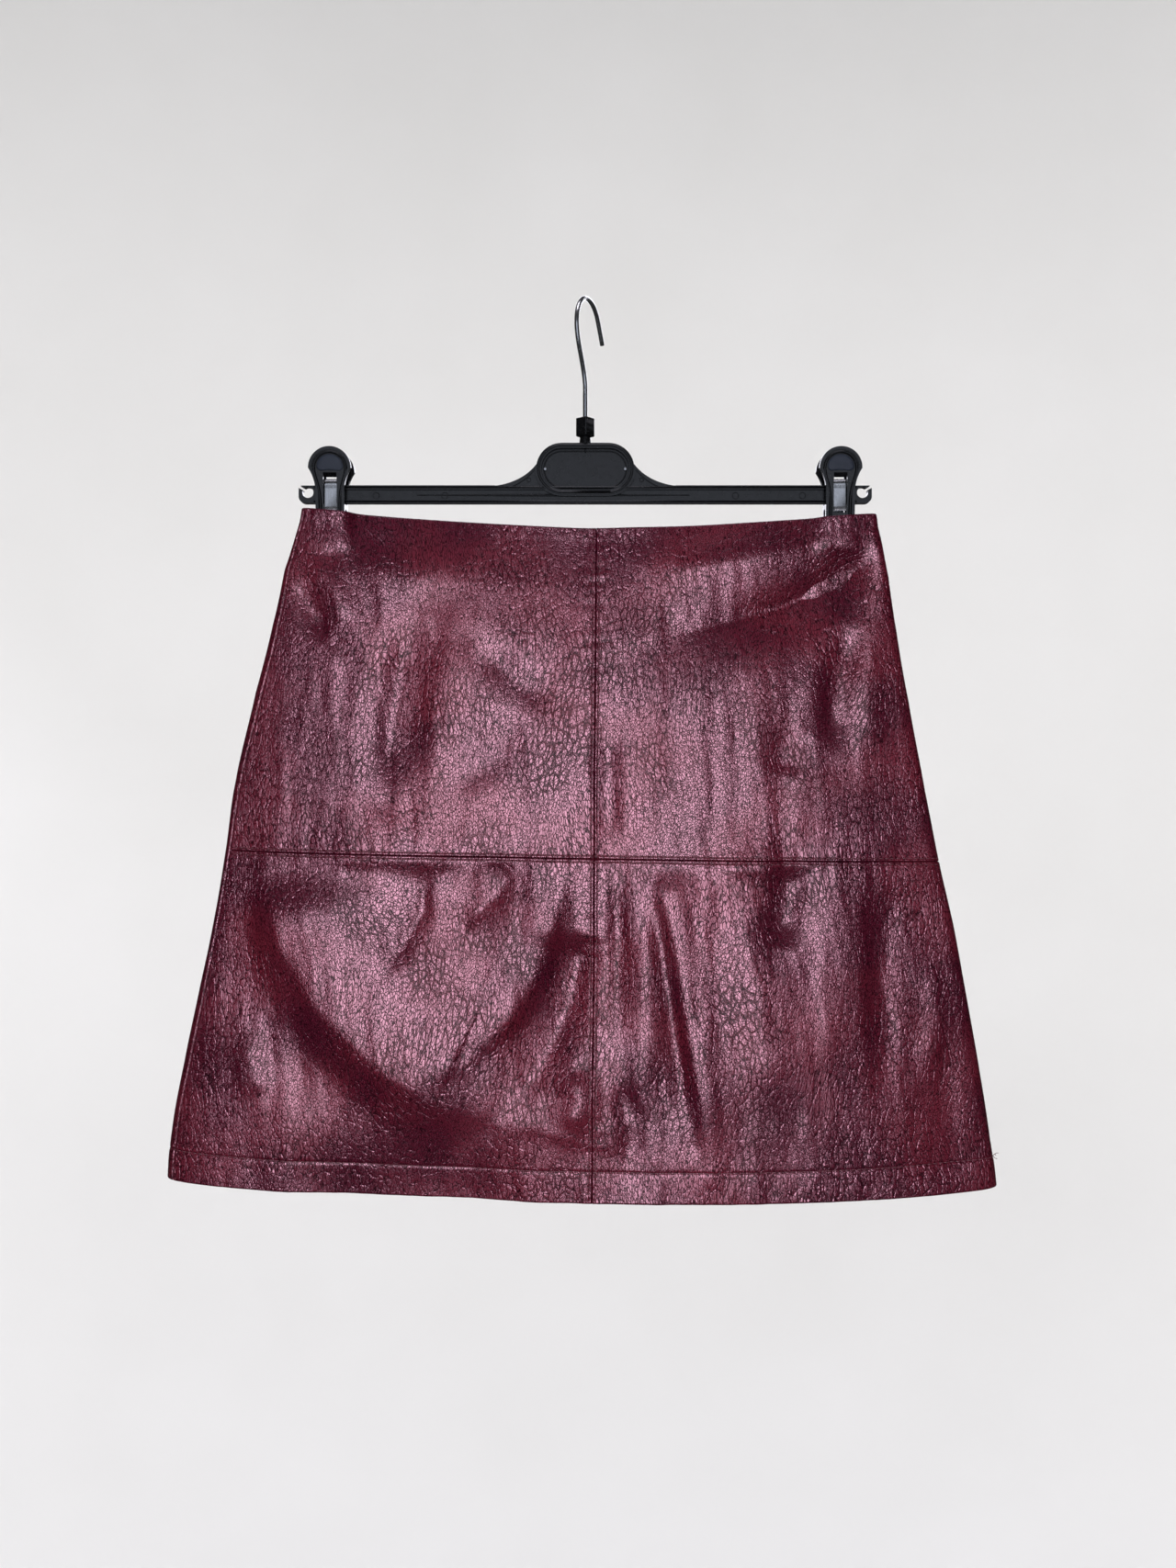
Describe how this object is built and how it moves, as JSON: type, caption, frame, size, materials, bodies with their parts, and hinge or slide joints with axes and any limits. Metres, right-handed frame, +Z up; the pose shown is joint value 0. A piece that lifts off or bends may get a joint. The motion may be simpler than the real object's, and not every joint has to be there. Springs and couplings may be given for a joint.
{
  "type": "leather skirt on a clip hanger",
  "caption": "Short A-line leather skirt with a centre front seam and a level seam, hung by its waist from a plastic clip hanger with a wire hook.",
  "frame": {"origin": "underside of the hook's crown, where a rail or peg carries the hanger", "axes": "+Z up, -Y is the way the skirt's front faces, +X to the right seen from the front"},
  "size_m": [0.5067, 0.0548, 0.551],
  "materials": {
    "front_leather": "grained satin burgundy faux leather",
    "back_leather": "grained satin burgundy faux leather",
    "zip_tape": "woven burgundy zip tape",
    "black_plastic": "moulded black, half gloss",
    "steel": "drawn and bent bright steel"
  },
  "bodies": {
    "root": {"front_upper_left": "front_leather", "front_upper_right": "front_leather", "front_lower_left": "front_leather", "front_lower_right": "front_leather", "back_panel": "back_leather", "side_zip": "zip_tape", "wire_hook": "steel", "size_marker": "black_plastic", "hanger_body": "black_plastic", "clip_left_front_lever": "black_plastic", "clip_left_back_lever": "black_plastic", "clip_left_spring": "steel", "clip_right_front_lever": "black_plastic", "clip_right_back_lever": "black_plastic", "clip_right_spring": "steel"}
  },
  "joints": []
}
